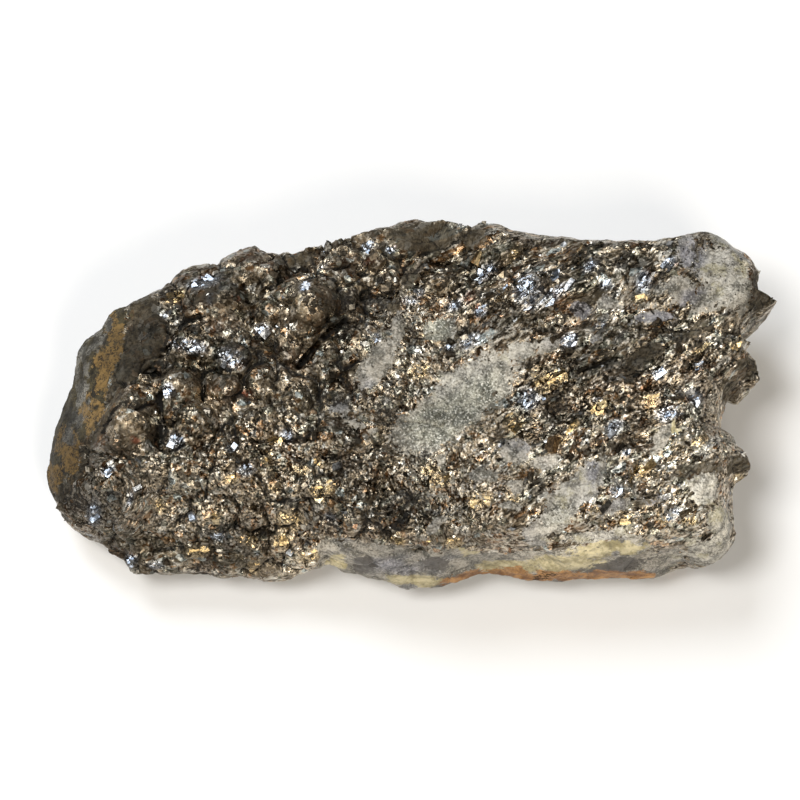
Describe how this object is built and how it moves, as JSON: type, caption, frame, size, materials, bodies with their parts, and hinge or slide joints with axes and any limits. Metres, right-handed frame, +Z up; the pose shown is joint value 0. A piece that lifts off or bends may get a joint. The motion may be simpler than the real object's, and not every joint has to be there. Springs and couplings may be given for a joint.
{
  "type": "raw pyrite specimen",
  "caption": "Hand-sized piece of raw granular pyrite with its quartz matrix, lying on its flat underside for display or study.",
  "frame": {"origin": "middle of the bounding box's base, on the flat underside that the stone rests on", "axes": "+X along the stone's length towards the end with the toothed edge, +Z up out of the pyrite face, +Y towards the long edge opposite the quartz side wall"},
  "size_m": [0.1228, 0.0614, 0.0313],
  "materials": {
    "pyrite_and_quartz": "dark brassy metallic grains with milky grey-green quartz patches and an orange-brown weathered rind"
  },
  "bodies": {
    "root": {"pyrite_rock": "pyrite_and_quartz"}
  },
  "joints": []
}
